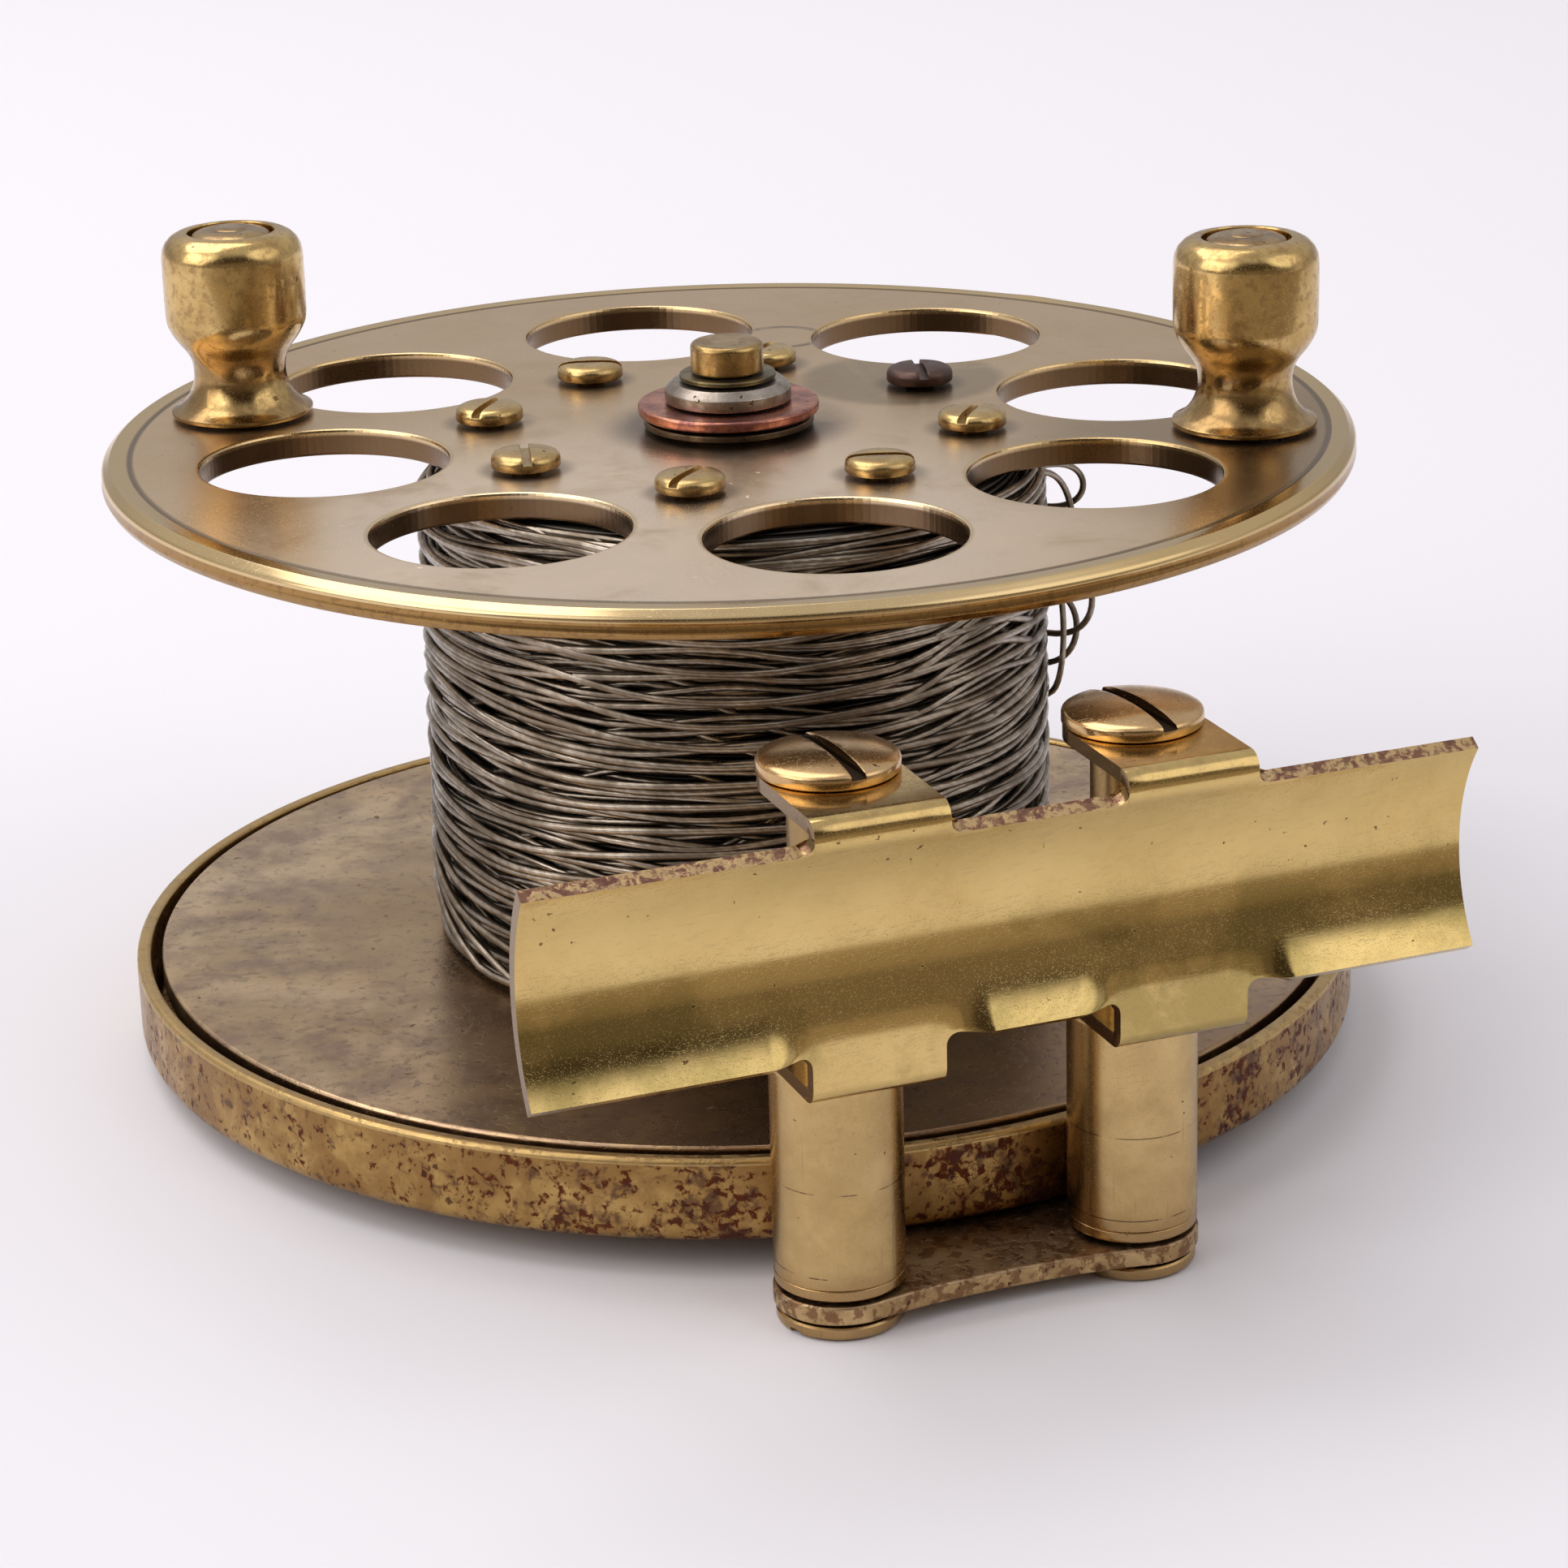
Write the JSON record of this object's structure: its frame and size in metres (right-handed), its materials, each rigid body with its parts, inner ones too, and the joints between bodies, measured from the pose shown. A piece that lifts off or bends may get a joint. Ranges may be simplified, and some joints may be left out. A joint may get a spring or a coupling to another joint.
{
  "type": "fly reel",
  "caption": "Wide-drum brass reel: pierced faceplate, shallow back pan, curved saddle foot on pillars, turning handles and a sprung check, loaded with wire line.",
  "frame": {"origin": "centre of the spindle's flush rear end, in the plane of the back pan's rear face", "axes": "+Z along the spindle towards the handles, -Y towards the rod foot, X along the rod"},
  "size_m": [0.1032, 0.1177, 0.0688],
  "materials": {
    "back_pan": "worn satin brass",
    "foot_bracket": "worn satin brass",
    "bracket_rivet_1": "worn satin brass",
    "bracket_rivet_2": "worn satin brass",
    "bracket_rivet_3": "worn satin brass",
    "pillar_left": "worn satin brass",
    "pillar_right": "worn satin brass",
    "pillar_screw_left": "worn satin brass",
    "pillar_screw_right": "worn satin brass",
    "saddle_foot": "worn satin brass",
    "foot_screw_left": "worn satin brass",
    "foot_screw_right": "worn satin brass",
    "spindle": "oiled steel",
    "copper_washer": "dulled copper",
    "clamp_nut": "worn nickel plate",
    "brass_washer": "dark tarnished brass",
    "end_cap": "worn satin brass",
    "pawl_pivot": "oiled steel",
    "spring_post": "worn satin brass",
    "check_spring": "oiled steel",
    "front_flange": "satin brass, handled bright at the edges",
    "rear_flange": "tarnished brass",
    "drum_barrel": "worn satin brass",
    "hub_tube": "near-black oiled brass",
    "wire_line": "dull stranded steel wire",
    "check_wheel": "oiled steel",
    "handle_pin_left": "worn satin brass",
    "handle_pin_right": "worn satin brass",
    "face_screw_1": "worn satin brass",
    "face_screw_2": "worn satin brass",
    "face_screw_3": "worn satin brass",
    "face_screw_4": "worn satin brass",
    "face_screw_5": "worn satin brass",
    "face_screw_6": "worn satin brass",
    "face_screw_7": "worn satin brass",
    "face_screw_8": "worn satin brass",
    "handle_left": "worn satin brass",
    "handle_right": "worn satin brass",
    "check_pawl": "oiled steel"
  },
  "bodies": {
    "frame": {"back_pan": "back_pan", "foot_bracket": "foot_bracket", "bracket_rivet_1": "bracket_rivet_1", "bracket_rivet_2": "bracket_rivet_2", "bracket_rivet_3": "bracket_rivet_3", "pillar_left": "pillar_left", "pillar_right": "pillar_right", "pillar_screw_left": "pillar_screw_left", "pillar_screw_right": "pillar_screw_right", "saddle_foot": "saddle_foot", "foot_screw_left": "foot_screw_left", "foot_screw_right": "foot_screw_right", "spindle": "spindle", "copper_washer": "copper_washer", "clamp_nut": "clamp_nut", "brass_washer": "brass_washer", "end_cap": "end_cap", "pawl_pivot": "pawl_pivot", "spring_post": "spring_post", "check_spring": "check_spring"},
    "spool": {"front_flange": "front_flange", "rear_flange": "rear_flange", "drum_barrel": "drum_barrel", "hub_tube": "hub_tube", "wire_line": "wire_line", "check_wheel": "check_wheel", "handle_pin_left": "handle_pin_left", "handle_pin_right": "handle_pin_right", "face_screw_1": "face_screw_1", "face_screw_2": "face_screw_2", "face_screw_3": "face_screw_3", "face_screw_4": "face_screw_4", "face_screw_5": "face_screw_5", "face_screw_6": "face_screw_6", "face_screw_7": "face_screw_7", "face_screw_8": "face_screw_8"},
    "left_handle": {"handle_left": "handle_left"},
    "right_handle": {"handle_right": "handle_right"},
    "pawl": {"check_pawl": "check_pawl"}
  },
  "joints": [
    {"name": "spool_turn", "type": "hinge", "parent": "frame", "child": "spool", "pos_m": [0, 0, 0.03], "axis": [0, 0, 1], "continuous": true},
    {"name": "left_handle_turn", "type": "hinge", "parent": "spool", "child": "left_handle", "pos_m": [-0.03543, 0.0218, 0.0496], "axis": [0, 0, 1], "continuous": true},
    {"name": "right_handle_turn", "type": "hinge", "parent": "spool", "child": "right_handle", "pos_m": [0.0375, -0.01936, 0.0496], "axis": [0, 0, 1], "continuous": true},
    {"name": "check_click", "type": "hinge", "parent": "frame", "child": "pawl", "pos_m": [0.00074, 0.0163, 0.004], "axis": [0, 0, 1], "range_deg": [0, 10], "stiffness_Nm_per_rad": 0.02, "deforming": ["check_spring"]}
  ]
}
